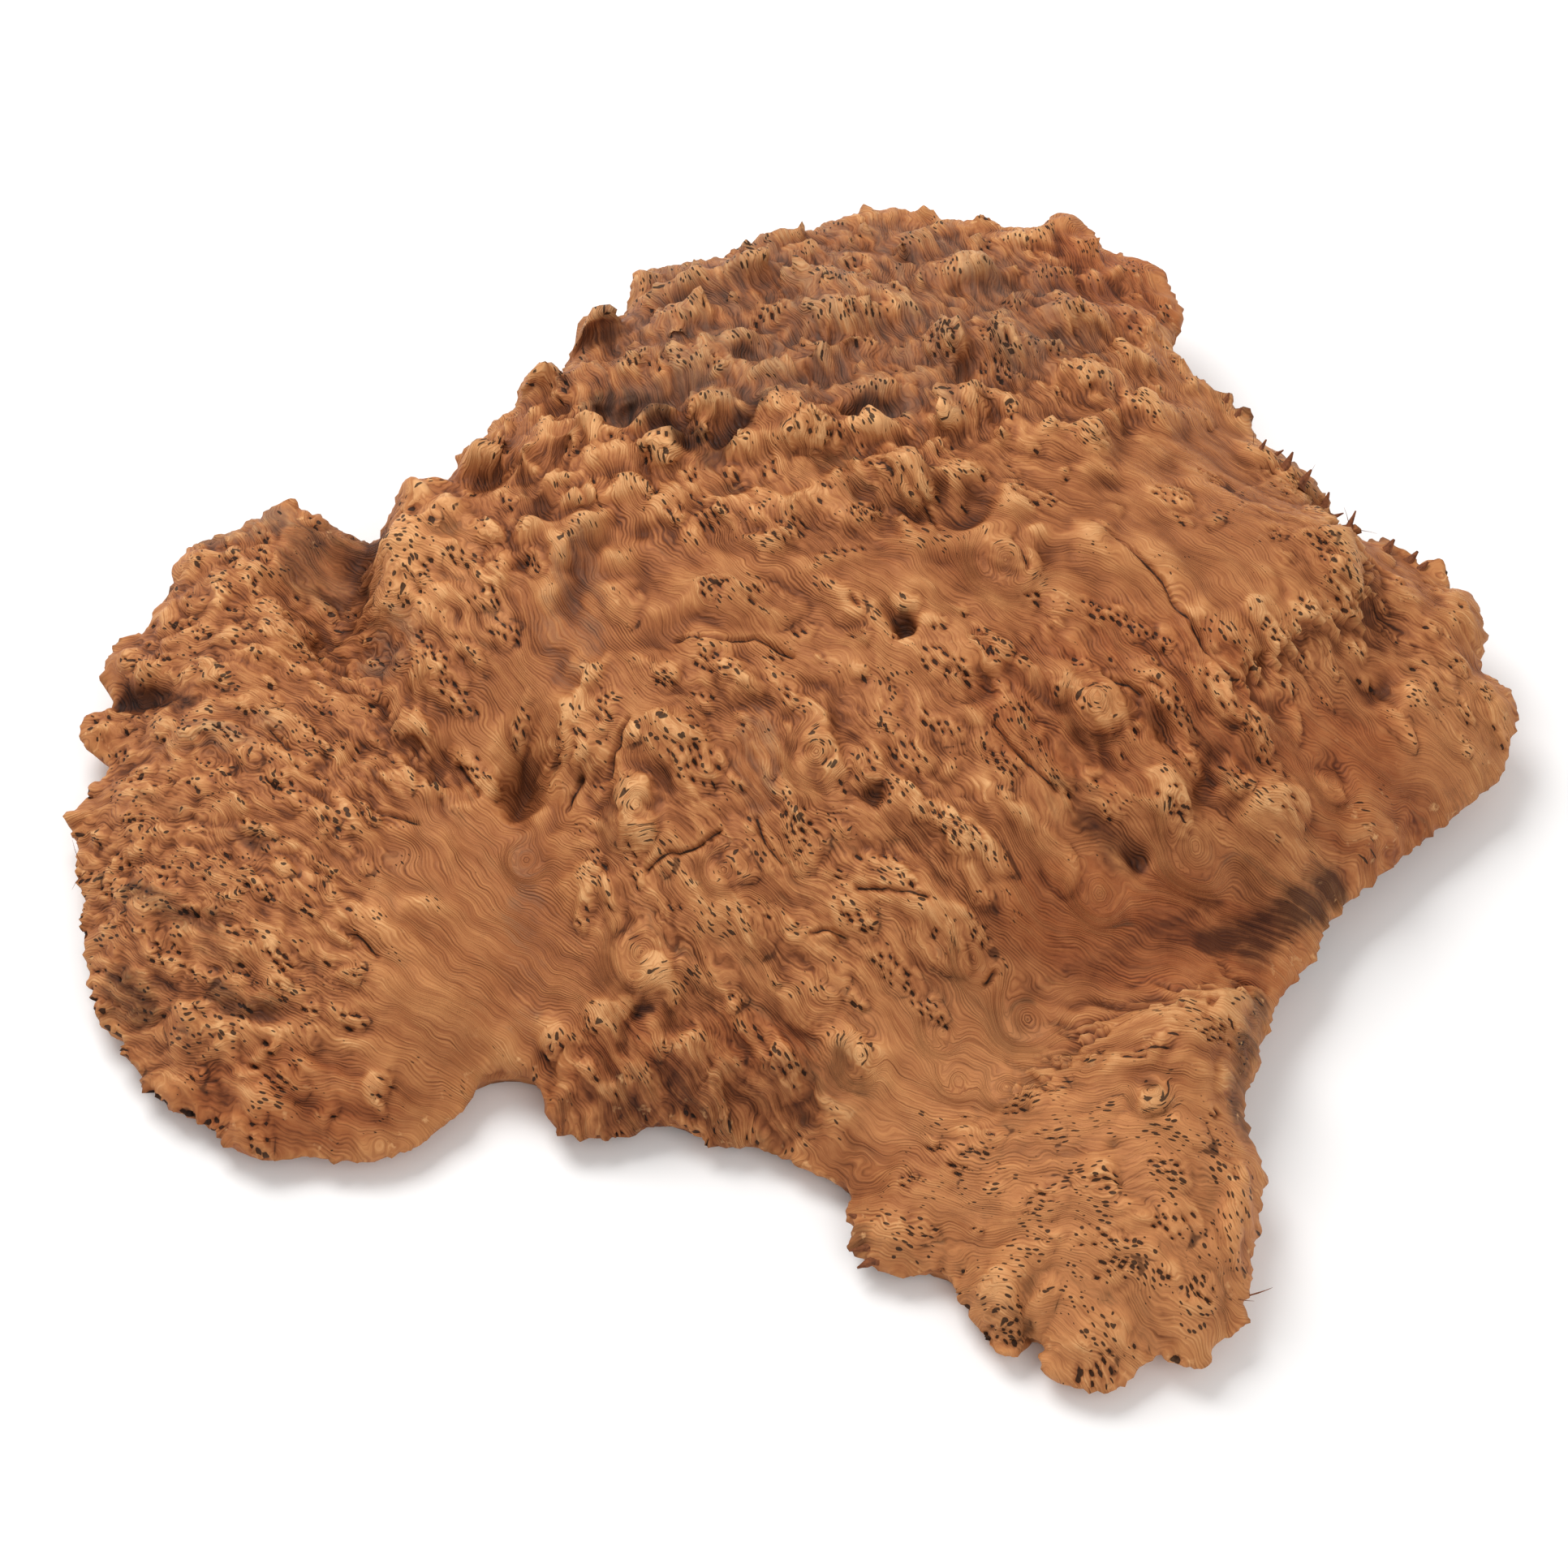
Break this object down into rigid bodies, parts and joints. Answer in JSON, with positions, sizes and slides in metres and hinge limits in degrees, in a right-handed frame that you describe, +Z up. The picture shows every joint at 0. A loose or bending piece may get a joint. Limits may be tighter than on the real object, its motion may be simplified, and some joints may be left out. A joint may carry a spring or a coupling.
{
  "type": "burl cap",
  "caption": "Knobbly natural burl cap of reddish brown hardwood, sawn flat underneath so it lies on a table as a turning blank or an ornament.",
  "frame": {"origin": "middle of the bounding box, on the sawn underside", "axes": "+Z up from the sawn face, +X across the widest stretch, -Y to the front with the toe lobe"},
  "size_m": [0.6284, 0.5906, 0.139],
  "materials": {
    "burl_wood": "brushed, unsealed, satin"
  },
  "bodies": {
    "root": {"burl_cap": "burl_wood"}
  },
  "joints": []
}
